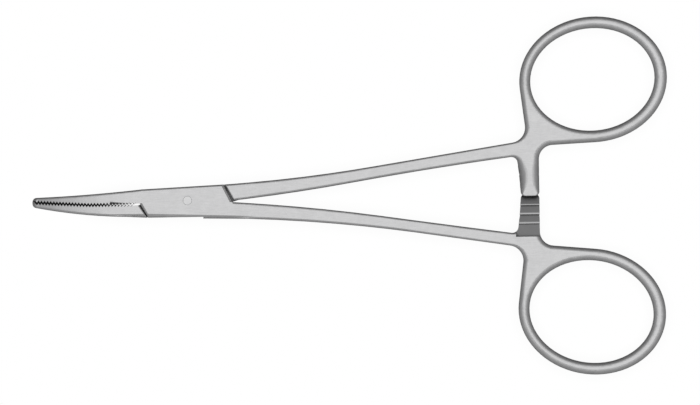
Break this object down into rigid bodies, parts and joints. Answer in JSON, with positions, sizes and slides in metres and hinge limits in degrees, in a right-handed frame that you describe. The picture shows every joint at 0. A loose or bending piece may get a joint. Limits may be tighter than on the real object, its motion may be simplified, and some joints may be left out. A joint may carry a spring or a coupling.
{
  "type": "hemostat forceps",
  "caption": "Curved box-lock hemostat forceps with serrated jaws, finger rings and an interlocking ratchet.",
  "frame": {"origin": "centre of the pivot pin at the underside of the box lock, the flat face that the instrument lies on", "axes": "+X from the jaw tips to the finger rings, +Z along the pivot pin, towards the side that the jaws curve to, +Y across the instrument to the ring of the plain half"},
  "size_m": [0.1255, 0.0707, 0.0075],
  "materials": {
    "satin_steel": "satin",
    "pin_steel": "satin"
  },
  "bodies": {
    "female": {"female_half": "satin_steel", "pivot_pin": "pin_steel"},
    "male": {"male_half": "satin_steel"}
  },
  "joints": [
    {"name": "box_lock", "type": "hinge", "parent": "female", "child": "male", "pos_m": [0, 0, 0], "axis": [0, 0, 1], "range_deg": [0, 50]}
  ]
}
